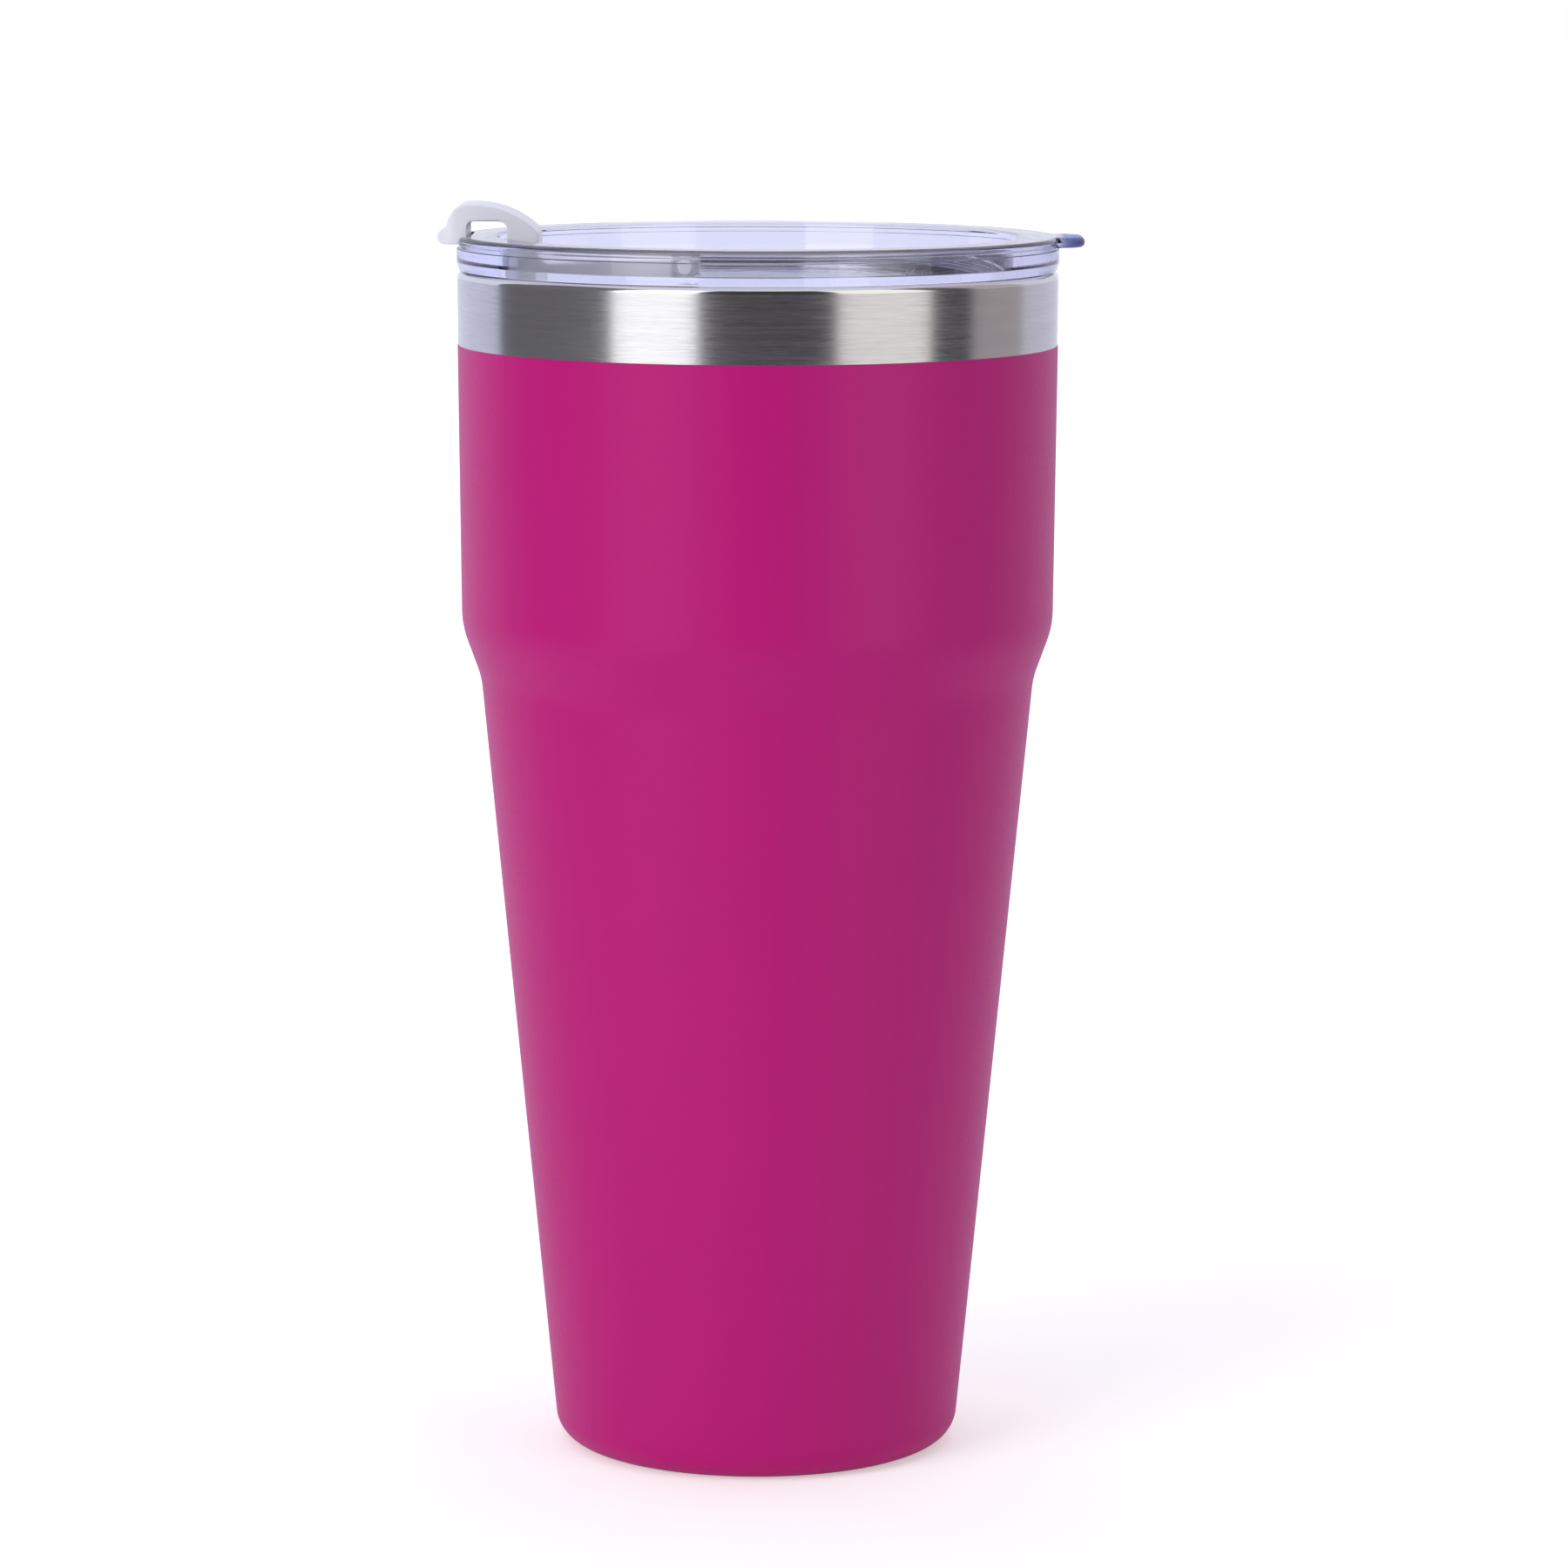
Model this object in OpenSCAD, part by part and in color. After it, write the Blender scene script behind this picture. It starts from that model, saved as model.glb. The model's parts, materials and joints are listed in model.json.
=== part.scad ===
// Vacuum-insulated tumbler with a clear press-in lid and a flip tab that closes the drinking hole.
// Millimetres. +Z is up, the origin is on the cup's axis in the plane of the foot ring, and the
// drinking side is at -X.

/* [Cup] */
// Height of the steel lip above the surface that the cup stands on
cup_h = 198; // [170:1:240]
// Outside radius of the steel wall just under the lip
rim_r = 49.9; // [41:0.1:60]
// Thickness of the lip, from the mouth to the outside
lip_t = 2; // [1.6:0.1:2.4]
// Lean of the upper wall, in degrees
upper_taper = 0.62; // [0.1:0.02:1.5]
// Distance from the lip down to the shoulder's upper corner
shoulder_below_rim = 59; // [48:1:72]
// Height of the shoulder between its two corners
shoulder_h = 8.7; // [7:0.1:11]
// Lean of the shoulder, in degrees
shoulder_angle = 20; // [15:0.5:24]
// Radius that rounds both corners of the shoulder
shoulder_round = 14.5; // [10:0.5:18]
// Lean of the lower wall, in degrees
lower_taper = 5.53; // [3:0.05:6.7]
// Radius between the wall and the foot ring
foot_round = 5; // [3:0.1:6.5]
// Width of the flat ring that the cup stands on
foot_ring_w = 2.6; // [2:0.1:4]

/* [Walls] */
// Thickness of the outer shell
shell_t = 0.5; // [0.4:0.05:0.8]
// Thickness of the liner
liner_t = 0.5; // [0.4:0.05:0.8]
// Vacuum gap between the liner and the shell
vacuum_gap = 3.5; // [2.5:0.1:4.2]
// Vacuum gap under the liner's floor, measured from the foot ring
floor_gap = 8; // [7:0.1:12]
// Radius between the liner's floor and its wall
floor_round = 10; // [6:0.5:14]
// Depth of the straight mouth that the lid's plug slides into
mouth_h = 11; // [9.5:0.5:14]
// Height over which the liner narrows below the mouth
neck_h = 11; // [9:0.5:16]
// Radius that rounds the two bends of the neck
neck_round = 12; // [6:1:16]

/* [Powder coat] */
// Thickness of the powder coat
coat_t = 0.12; // [0.08:0.01:0.2]
// Height of the bare steel band above the coat
bare_band_h = 12.2; // [8:0.1:20]
// How far the coat wraps under the foot's round, in degrees from the side
coat_wrap = 70; // [40:1:72]

/* [Base] */
// Thickness of the base plate and of the base cover
plate_t = 0.6; // [0.4:0.05:0.8]
// Height of the base plate's upper face
plate_z = 4; // [3.5:0.1:4.5]
// Height of the underside of the base cover
cover_z = 1; // [0.6:0.1:1.4]
// Radius of the vacuum port in the base plate
port_r = 0.8; // [0.5:0.05:1.2]
// Radius of the dimple pressed round the port
dimple_r = 6; // [5:0.1:7]
// Depth of that dimple
dimple_h = 1.4; // [1:0.1:1.8]
// Radius of the getter pellet
getter_r = 3.6; // [2.5:0.1:4]
// Height of the getter pellet
getter_h = 1.8; // [1:0.1:2.5]
// Distance of the getter from the cup's axis
getter_x = 11.5; // [11:0.1:12]

/* [Lid] */
// How far the lid's flange reaches past the steel wall
lid_overhang = 0.2; // [0:0.05:1]
// Height of the flange that stands on the lip
flange_h = 5.6; // [5:0.1:6.5]
// Gap between the lip and the flange
seat_gap = 0.2; // [0.15:0.05:0.4]
// Depth of the plug below the flange
plug_h = 8.2; // [7.8:0.1:9]
// Gap all round between the plug and the mouth
plug_clear = 1; // [0.6:0.1:1.4]
// Thickness of the plug's wall
lid_wall = 3.6; // [3:0.1:4.5]
// Thickness of the lid's floor
lid_floor_t = 2.2; // [1.8:0.1:2.6]
// Depth of the dish in the lid
dish_h = 9.2; // [8.4:0.1:9.8]
// How much the dish narrows from its mouth to its floor, all round
dish_draft = 0.9; // [0.5:0.1:1.2]
// Distance from the lid's upper face down to the groove round its flange
ring_groove_below = 1.25; // [1.2:0.05:1.5]
// Height of that groove
ring_groove_h = 0.75; // [0.4:0.05:0.9]
// Depth of that groove
ring_groove_d = 0.3; // [0.2:0.05:0.5]
// How far the pull tab reaches past the flange
pull_out = 4; // [3:0.1:8]
// Width of the pull tab
pull_w = 16; // [12:0.5:24]
// Thickness of the pull tab
pull_t = 1.7; // [1.4:0.1:2.4]
// Radius of the vent hole
vent_r = 1.2; // [0.8:0.1:2]
// Distance of the vent hole from the lid's centre
vent_x = 27; // [18:1:30]

/* [Gasket] */
// Height of the gasket
gasket_h = 3; // [2.4:0.1:3.2]
// Depth of the groove that holds the gasket
gasket_groove = 1.8; // [1.2:0.1:2]
// Gap between the gasket's fins and the mouth
seal_clear = 0.3; // [0.2:0.05:0.5]

/* [Flip tab] */
// Width of the tab across its arch
tab_w = 16; // [12:0.5:20]
// Width of the arm at the hinge
arm_w = 10; // [8:0.5:12]
// Thickness of the arm
arm_t = 3.2; // [2.6:0.1:3.6]
// Distance of the hinge from the lid's centre, towards the drinking side
hinge_in = 12; // [6:0.5:14]
// Height of the hinge's axis above the lid's floor
hinge_h = 2.6; // [2.5:0.05:3]
// Radius of the trunnions that the tab turns on
trunnion_r = 1.25; // [1:0.05:1.5]
// Radial clearance of the trunnions in the ears
trunnion_clear = 0.06; // [0.03:0.01:0.09]
// Thickness of each hinge ear
ear_t = 2.2; // [1.8:0.1:3]
// Height of the arch above the lid
arch_h = 5.3; // [4.8:0.1:7]
// Thickness of the arch over the rim
arch_t = 2.8; // [2.6:0.1:3.2]
// How far the arch's outer leg stands past the flange
arch_out = 1.4; // [1.2:0.1:3]
// Thickness of the outer leg
outer_leg_t = 3.5; // [3.3:0.1:4.5]
// Thickness of the inner leg
inner_leg_t = 5.2; // [4.5:0.1:6]
// How far the finger lip hangs below the lid's upper face
hook_h = 1.3; // [1:0.1:1.5]
// Thickness of the finger lip
hook_t = 2.4; // [1.8:0.1:2.6]
// How far the finger lip reaches past the outer leg
hook_out = 1.5; // [1.3:0.1:2]
// Radius that rounds the arch's outer corner
arch_round = 3.4; // [2.4:0.1:3.6]
// Distance from the flange in to the crest of the arch
crest_in = 9.1; // [8:0.1:9.5]
// Fall of the arch from its crest to the inner leg, in degrees
crest_fall = 43; // [35:1:48]
// Angle that the tab opens to before its heel stops on the lid's floor
open_angle = 100; // [92:1:110]
// Wall of the hollow arch
tab_wall = 1.7; // [1.4:0.1:1.9]

/* [Drinking hole] */
// Width of the hole, along the tab
hole_w = 5.6; // [4.5:0.1:6]
// Length of the hole, across the tab
hole_l = 11.6; // [9:0.1:12]
// Clearance of the stopper in the hole
stopper_clear = 0.3; // [0.2:0.05:0.5]
// How far the stopper's flange reaches past the hole
stopper_land = 1.2; // [0.8:0.1:1.4]

/* [Hidden] */
$fn = 128;
arc_steps = 12;

steel = [0.72, 0.72, 0.74];
coat_pink = [0.72, 0.14, 0.49];
glass_seal = [0.25, 0.3, 0.28];
getter_grey = [0.4, 0.4, 0.42];
clear_lid = [0.82, 0.84, 0.97, 0.45];
frosted_tab = [0.85, 0.86, 0.93, 0.8];
silicone = [0.9, 0.9, 0.92, 0.7];

// ---- Outlines ----

function unit(a) = [cos(a), sin(a)];

function reversed(list) = [for (i = [len(list) - 1:-1:0]) list[i]];

function arc(centre, r, from, to) =
    [for (i = [0:arc_steps]) centre + r * unit(from + (to - from) * i / arc_steps)];

// Corner p between faces whose outward normals point along a1 and a2, moved outwards by d and
// given the radius r.
function moved(p, a1, a2, d, r) =
    let (q = p + d * (unit(a1) + unit(a2)) / (1 + unit(a1) * unit(a2)))
    [q.x, q.y, r];

// Points that round corner p, between its neighbours a and b, to the radius p[2].
function round_corner(a, p, b) =
    let (corner = [p.x, p.y],
        to_a = [a.x, a.y] - corner,
        to_b = [b.x, b.y] - corner,
        u = to_a / norm(to_a),
        v = to_b / norm(to_b),
        half = acos(u * v) / 2,
        centre = corner + (u + v) / norm(u + v) * p[2] / sin(half),
        start = corner + u * p[2] / tan(half) - centre,
        end = corner + v * p[2] / tan(half) - centre,
        from = atan2(start.y, start.x))
    arc(centre, p[2], from, from + atan2(cross(start, end), start * end));

// An outline from its corners, each [x, y] if it is sharp and [x, y, radius] if it is round.
function outline(corners) =
    let (n = len(corners))
    [for (i = [0:n - 1])
        each len(corners[i]) == 2 ? [corners[i]]
            : round_corner(corners[(i + n - 1) % n], corners[i], corners[(i + 1) % n])];

module turned(corners) rotate_extrude() polygon(outline(corners));

// A plate with its outline in the XZ plane, w wide and centred on Y = 0.
module across(corners, w)
    translate([0, w / 2, 0]) rotate([90, 0, 0]) linear_extrude(w) polygon(outline(corners));

// A plate with its outline in the XY plane, between two heights.
module between(corners, z0, z1)
    translate([0, 0, z0]) linear_extrude(z1 - z0) polygon(outline(corners));

// A round bar along Y, centred on Y = 0.
module bar(x, z, r, w) translate([x, w / 2, z]) rotate([90, 0, 0]) cylinder(h = w, r = r);

// A slot-shaped plug centred on X = x, w wide along X and l long along Y, that narrows by
// narrow all round from its top to its bottom.
module slot_plug(x, w, l, z0, z1, narrow = 0) translate([x, 0, z0]) {
    reach = (l - w) / 2;
    for (side = [-1, 1]) translate([0, side * reach, 0])
        cylinder(h = z1 - z0, r1 = w / 2 - narrow, r2 = w / 2);
    across([[narrow - w / 2, 0], [w / 2 - narrow, 0], [w / 2, z1 - z0], [-w / 2, z1 - z0]],
        2 * reach);
}

// ---- The cup's lines: the outer face of its steel wall, which every skin of the cup follows ----

lip_z = cup_h - lip_t / 2;
shoulder_z = cup_h - shoulder_below_rim;
function upper_r(z) = rim_r - (lip_z - z) * tan(upper_taper);
high_corner = [upper_r(shoulder_z), shoulder_z];
low_corner = high_corner - shoulder_h * [tan(shoulder_angle), 1];
function lower_r(z) = low_corner.x - (low_corner.y - z) * tan(lower_taper);

// Point at height z on the upper or the lower wall of a skin that lies d outside the steel.
function upper_point(z, d) = [upper_r(z) + d / cos(upper_taper), z];
function lower_point(z, d) = [lower_r(z) + d / cos(lower_taper), z];

// The two shoulder corners of that skin.
function shoulder_corners(d) = [
    moved(low_corner, -lower_taper, -shoulder_angle, d, shoulder_round - d),
    moved(high_corner, -shoulder_angle, -upper_taper, d, shoulder_round + d)];

// ---- Cup ----

foot_centre = lower_point(foot_round, -foot_round);
ring_in_r = foot_centre.x - foot_ring_w;

mouth_r = rim_r - lip_t;
wall_in = shell_t + vacuum_gap + liner_t;
floor_z = floor_gap + liner_t;
neck_high = [mouth_r, cup_h - mouth_h];
neck_low = upper_point(neck_high.y - neck_h, -wall_in);
neck_angle = atan2(neck_high.x - neck_low.x, neck_high.y - neck_low.y);

// Corners of the liner's wall, on its inner face (e = 0) or its outer face (e = liner_t).
function liner_corners(e) = concat(
    [concat(lower_point(floor_z - e, e - wall_in), floor_round + e)],
    shoulder_corners(e - wall_in),
    [moved(neck_low, -upper_taper, -neck_angle, e, neck_round - e),
        moved(neck_high, -neck_angle, 0, e, neck_round + e)]);

// Where the lower wall's face at depth t in the steel meets the plane at height t.
function foot_corner(t) = lower_point(t, -t);

module outer_shell() color(steel) turned(concat(
    [[ring_in_r, 0], concat(foot_corner(0), foot_round)],
    shoulder_corners(0),
    [upper_point(lip_z, 0), upper_point(lip_z, -shell_t)],
    reversed(shoulder_corners(-shell_t)),
    [concat(foot_corner(shell_t), foot_round - shell_t), [ring_in_r, shell_t]]));

module inner_liner() color(steel) turned(concat(
    [[0, floor_z]],
    liner_corners(0),
    arc([rim_r - lip_t / 2, lip_z], lip_t / 2, 180, 0),
    [[mouth_r + liner_t, lip_z]],
    reversed(liner_corners(liner_t)),
    [[0, floor_z - liner_t]]));

module powder_coat() color(coat_pink) {
    top_z = cup_h - bare_band_h;
    turned(concat(
        arc(foot_centre, foot_round + coat_t, -coat_wrap, -lower_taper),
        shoulder_corners(coat_t),
        [upper_point(top_z, coat_t), upper_point(top_z, 0)],
        reversed(shoulder_corners(0)),
        arc(foot_centre, foot_round, -lower_taper, -coat_wrap)));
}

// ---- Base ----

weld_z = 0.2;
plate_round = 1.2;
dimple_floor_r = dimple_r / 2;
dimple_z = plate_z + dimple_h;
// The dimple's lower face runs between these two points.
dimple_in = [dimple_floor_r - plate_t / 2, dimple_z - plate_t];
dimple_out = [dimple_r - plate_t / 2, plate_z - plate_t];

module base_plate() color(steel) {
    skirt_in_r = ring_in_r - plate_t;
    turned([
        [ring_in_r, weld_z],
        [ring_in_r, plate_z, plate_round],
        [dimple_r, plate_z],
        [dimple_floor_r, dimple_z],
        [port_r, dimple_z],
        [port_r, dimple_in.y],
        dimple_in,
        dimple_out,
        [skirt_in_r, plate_z - plate_t, plate_round - plate_t],
        [skirt_in_r, weld_z]]);
}

module vacuum_seal() color(glass_seal) {
    bead_reach = 0.6;
    bead_round = 2;
    edge = dimple_in + bead_reach * (dimple_out - dimple_in);
    turned([
        [0, dimple_z],
        [port_r, dimple_z],
        [port_r, dimple_in.y],
        dimple_in,
        edge,
        [edge.x / 2, edge.y - plate_t / 2, bead_round],
        [0, edge.y - plate_t / 2]]);
}

module base_cover() color(steel) {
    cover_r = ring_in_r - plate_t;
    rim_h = 1.8;
    rim_z = cover_z + rim_h;
    emboss_r = 0.6 * cover_r;
    emboss_h = 0.4;
    emboss_w = 1;
    turned([
        [0, cover_z + emboss_h],
        [emboss_r, cover_z + emboss_h],
        [emboss_r + emboss_w, cover_z],
        [cover_r, cover_z, plate_round],
        [cover_r, rim_z],
        [cover_r - plate_t, rim_z],
        [cover_r - plate_t, cover_z + plate_t, plate_round - plate_t],
        [emboss_r + emboss_w, cover_z + plate_t],
        [emboss_r, cover_z + emboss_h + plate_t],
        [0, cover_z + emboss_h + plate_t]]);
}

tray_t = 0.3;
tray_h = 1.2;

module getter() color(getter_grey)
    translate([getter_x, 0, plate_z + tray_t]) cylinder(h = getter_h, r = getter_r);

module getter_holder() color(steel) translate([getter_x, 0, plate_z]) turned([
    [0, 0],
    [getter_r + tray_t, 0],
    [getter_r + tray_t, tray_h],
    [getter_r, tray_h],
    [getter_r, tray_t],
    [0, tray_t]]);

// ---- Lid ----

lid_r = rim_r + lid_overhang;
seat_z = cup_h + seat_gap;
lid_top = seat_z + flange_h;
plug_r = mouth_r - plug_clear;
plug_z = seat_z - plug_h;
dish_r = plug_r - lid_wall;
low_dish_r = dish_r - dish_draft;
dish_z = lid_top - dish_h;

gasket_gap = 0.1;
gasket_rise = 2.3;
gasket_z = plug_z + gasket_rise;
groove_r = plug_r - gasket_groove;

// The outer leg of the flip tab, and the lid's notch that it drops into.
outer_x = -(lid_r + arch_out);
rim_side_x = outer_x + outer_leg_t;
hook_z = lid_top - hook_h;
notch_clear = 0.6;

// The inner leg clears the dish's wall at both of its corners.
leg_clear = 0.35;
leg_out_x = leg_clear - sqrt(low_dish_r * low_dish_r - tab_w * tab_w / 4);
leg_in_x = leg_out_x + inner_leg_t;

hole_x = leg_out_x + hole_w / 2 + stopper_land + 0.9;
hinge_x = -hinge_in;
hinge_z = dish_z + hinge_h;
ear_gap = 0.25;

module lid_ring() {
    groove_top = lid_top - ring_groove_below;
    groove_low = groove_top - ring_groove_h;
    band_r = lid_r - 0.1;
    band_low = seat_z + 1.4;
    seat_r = lid_r - 0.45;
    lead_r = plug_r - 0.3;
    floor_low = dish_z - lid_floor_t;
    turned([
        [0, dish_z],
        [low_dish_r, dish_z, 1.5],
        [dish_r, lid_top, 0.5],
        [lid_r, lid_top, 0.9],
        [lid_r, groove_top],
        [lid_r - ring_groove_d, groove_top],
        [lid_r - ring_groove_d, groove_low],
        [band_r, groove_low],
        [band_r, band_low],
        [seat_r, seat_z, 0.2],
        [plug_r, seat_z],
        [plug_r, gasket_z + gasket_h + gasket_gap],
        [groove_r, gasket_z + gasket_h + gasket_gap],
        [groove_r, gasket_z - gasket_gap],
        [lead_r, gasket_z - gasket_gap],
        [lead_r, plug_z, 0.6],
        [dish_r, plug_z, 0.3],
        [dish_r, floor_low, 0.8],
        [0, floor_low]]);
}

module pull_tab() {
    tip = lid_r + pull_out;
    edge = pull_t * 0.45;
    corner = 5;
    intersection() {
        across([[plug_r, lid_top - pull_t], [tip, lid_top - pull_t, edge], [tip, lid_top, edge],
            [plug_r, lid_top]], pull_w);
        between([[plug_r, -pull_w / 2], [tip, -pull_w / 2, corner], [tip, pull_w / 2, corner],
            [plug_r, pull_w / 2]], seat_z, lid_top);
    }
}

module hinge_ears() {
    ear_r = hinge_h - 0.2;
    foot = 0.5;
    for (side = [-1, 1]) translate([0, side * (arm_w / 2 + ear_gap + ear_t / 2), 0]) {
        bar(hinge_x, hinge_z, ear_r, ear_t);
        translate([hinge_x - ear_r, -ear_t / 2, dish_z - foot])
            cube([2 * ear_r, ear_t, hinge_h + foot]);
    }
}

module lid_body() color(clear_lid) difference() {
    past = 1;
    union() {
        lid_ring();
        pull_tab();
        hinge_ears();
    }
    slot_plug(hole_x, hole_w, hole_l, dish_z - lid_floor_t - past, dish_z + past);
    translate([vent_x, 0, dish_z - lid_floor_t - past])
        cylinder(h = lid_floor_t + 2 * past, r = vent_r);
    bar(hinge_x, hinge_z, trunnion_r + trunnion_clear, low_dish_r);
    translate([-2 * lid_r, -tab_w / 2 - notch_clear, hook_z - notch_clear])
        cube([2 * lid_r + rim_side_x + notch_clear, tab_w + 2 * notch_clear, 2 * hook_h]);
}

module lid_gasket() color(silicone) {
    fin_r = mouth_r - seal_clear;
    core_r = plug_r - 0.2;
    fin_t = 0.7;
    fin_rise = 0.4;
    fin_round = 0.2;
    low = gasket_z + 0.3;
    high = gasket_z + gasket_h - fin_t - fin_rise - 0.1;
    turned([
        [groove_r, gasket_z],
        [core_r, gasket_z],
        [core_r, low],
        [fin_r, low + fin_rise, fin_round],
        [fin_r, low + fin_rise + fin_t, fin_round],
        [core_r, low + fin_t],
        [core_r, high],
        [fin_r, high + fin_rise, fin_round],
        [fin_r, high + fin_rise + fin_t, fin_round],
        [core_r, high + fin_t],
        [core_r, gasket_z + gasket_h],
        [groove_r, gasket_z + gasket_h]]);
}

// ---- Flip tab ----

arm_gap = 0.4;
barrel_r = hinge_h - arm_gap;
arm_z = hinge_z - barrel_r;
arm_top = arm_z + arm_t;
arch_top = lid_top + arch_h;
arch_under = arch_top - arch_t;
crest_x = crest_in - lid_r;
fall_z = arch_top - (leg_in_x - crest_x) * tan(crest_fall);
fall_l = (leg_in_x - crest_x) / cos(crest_fall);
arch_lean = 0.9;
top_l = crest_x - outer_x - arch_lean - arch_round;
crest_round = min(15, min(0.88 * fall_l, top_l) / tan(crest_fall / 2));
tip_x = outer_x - hook_out;
hook_round = hook_t * 0.48;
stopper_sink = 1;

module tab_side() {
    across([
        [hinge_x, arm_z],
        [leg_out_x, arm_z, 0.6],
        [leg_out_x, arch_under, 1.3],
        [rim_side_x, arch_under, 1],
        [rim_side_x, hook_z, 0.5],
        [tip_x, hook_z, hook_round],
        [tip_x, hook_z + hook_t, hook_round],
        [outer_x, hook_z + hook_t, 0.2],
        [outer_x + arch_lean, arch_top, arch_round],
        [crest_x, arch_top, crest_round],
        [leg_in_x, fall_z, 1.2],
        [leg_in_x, arm_top, 2],
        [hinge_x, arm_top]], tab_w);
    bar(hinge_x, hinge_z, barrel_r, tab_w);
    heel();
}

// The heel behind the barrel meets the lid's floor at open_angle.
module heel() {
    heel_back = 48;
    heel_clear = 0.1;
    heel_angle = open_angle - heel_back;
    heel_r = (hinge_h - heel_clear) / sin(heel_back);
    flank = acos(barrel_r / heel_r);
    hinge = [hinge_x, hinge_z];
    across([
        hinge,
        hinge + barrel_r * unit(heel_angle - flank),
        hinge + heel_r * unit(heel_angle),
        hinge + barrel_r * unit(heel_angle + flank)], tab_w);
}

module tab_plan() {
    neck_x = leg_in_x + 2;
    neck_l = 8;
    right = [
        [tip_x, -tab_w / 2, 3],
        [neck_x, -tab_w / 2, 2],
        [neck_x + neck_l, -arm_w / 2, 3],
        [hinge_x + 2 * barrel_r, -arm_w / 2]];
    left = [for (p = reversed(right)) len(p) == 2 ? [p.x, -p.y] : [p.x, -p.y, p[2]]];
    between(concat(right, left), dish_z, arch_top + 1);
}

module arch_hollow() {
    crest = moved([crest_x, arch_top], 90, 90 - crest_fall, -tab_wall, crest_round - tab_wall);
    in_x = leg_in_x - tab_wall;
    mid_x = (rim_side_x + leg_out_x) / 2;
    low_z = arm_top + 1.3;
    hook_top = hook_z + hook_t;
    across([
        [outer_x + tab_wall + 0.2, hook_top],
        [outer_x + tab_wall + 0.5, arch_top - tab_wall, arch_round - tab_wall],
        crest,
        [in_x, crest.y - (in_x - crest.x) * tan(crest_fall)],
        [in_x, low_z, 0.8],
        [mid_x, low_z],
        [mid_x, hook_top]], tab_w - 2 * tab_wall);
}

module flip_tab() color(frosted_tab) {
    difference() {
        intersection() {
            tab_side();
            tab_plan();
        }
        arch_hollow();
        slot_plug(hole_x, hole_w + 2 * stopper_land, hole_l + 2 * stopper_land,
            arm_z - 1, arm_z + stopper_sink);
    }
    bar(hinge_x, hinge_z, trunnion_r, arm_w + 2 * (ear_gap + ear_t));
}

module tab_stopper() color(silicone) {
    flange_z = dish_z + 0.2;
    slot_plug(hole_x, hole_w + 2 * stopper_land, hole_l + 2 * stopper_land,
        flange_z, arm_z + stopper_sink);
    slot_plug(hole_x, hole_w - 2 * stopper_clear, hole_l - 2 * stopper_clear,
        dish_z - lid_floor_t + 0.5, flange_z, 0.4);
}

outer_shell();
inner_liner();
powder_coat();
base_plate();
base_cover();
vacuum_seal();
getter();
getter_holder();
lid_body();
lid_gasket();
flip_tab();
tab_stopper();
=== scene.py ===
import json
import math

import bpy
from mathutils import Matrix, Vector


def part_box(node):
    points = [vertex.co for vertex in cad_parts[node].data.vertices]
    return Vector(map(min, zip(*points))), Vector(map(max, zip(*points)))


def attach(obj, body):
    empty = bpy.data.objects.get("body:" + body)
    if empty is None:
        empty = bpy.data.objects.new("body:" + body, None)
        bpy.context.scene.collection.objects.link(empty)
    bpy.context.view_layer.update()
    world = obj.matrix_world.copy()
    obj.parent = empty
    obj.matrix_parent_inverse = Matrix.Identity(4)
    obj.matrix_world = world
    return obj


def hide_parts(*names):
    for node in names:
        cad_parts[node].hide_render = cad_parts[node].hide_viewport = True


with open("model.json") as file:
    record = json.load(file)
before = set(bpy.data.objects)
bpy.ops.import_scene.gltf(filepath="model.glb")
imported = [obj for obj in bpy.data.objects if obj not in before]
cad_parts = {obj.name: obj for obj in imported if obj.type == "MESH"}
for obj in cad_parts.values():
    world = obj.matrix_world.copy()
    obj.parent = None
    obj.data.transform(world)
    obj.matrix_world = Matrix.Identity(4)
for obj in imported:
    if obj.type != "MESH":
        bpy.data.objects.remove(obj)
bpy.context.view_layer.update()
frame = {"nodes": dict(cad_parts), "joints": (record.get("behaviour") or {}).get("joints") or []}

# An insulated tumbler with a press-in lid and a flip tab. Sizes are in millimetres and are turned
# into metres as each shape is drawn. Angles are in degrees.

MM = 0.001
TURN_STEPS = 192
SMOOTH_ANGLE = 32

# An arc is cut into steps no longer than these. A holding point lies just before and after it.
ARC_STEP = 10
ARC_LENGTH = 0.9
HOLD = 0.15

# Points closer than MERGE become one. Lengths that differ by less than CLOSE count as equal.
MERGE = 0.002
CLOSE = 0.01


def node_box(node):
    """The lowest and highest corner of a node, in millimetres."""
    low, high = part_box(node)
    return Vector(low) / MM, Vector(high) / MM


# ---- Sizes of the cup ----

CUP_TOP = node_box("inner_liner")[1].z
RIM_R = node_box("outer_shell")[1].x
LIP_Z = node_box("outer_shell")[1].z
COAT_TOP = node_box("powder_coat")[1].z
LINER_FLOOR = node_box("inner_liner")[0].z
COVER_R = node_box("base_cover")[1].x
COVER_Z = node_box("base_cover")[0].z
RING_R = node_box("base_plate")[1].x
WELD_Z = node_box("base_plate")[0].z
DIMPLE_Z = node_box("base_plate")[1].z

# WALL_IN is from the outer face to the liner's inner face. COAT_WRAP is how far the coat goes round
# the foot's curve. PLATE is the thickness of the bottom's sheet.
SHEET = 0.5
WALL_IN = 4.5
COAT = 0.12
COAT_WRAP = 70
UPPER_TAPER = 0.62
LOWER_TAPER = 5.53
SHOULDER_TAPER = 20
SHOULDER_Z = CUP_TOP - 59
SHOULDER_H = 8.7
SHOULDER_ROUND = 14.5
FOOT_ROUND = 5
FLOOR_ROUND = 10
LIP_T = 2 * (CUP_TOP - LIP_Z)
MOUTH_R = RIM_R - LIP_T
MOUTH_Z = CUP_TOP - 11
NECK_Z = MOUTH_Z - 11
NECK_ROUND = 12
PLATE = 0.6
PLATE_Z = 4

# ---- Sizes of the lid ----

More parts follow.
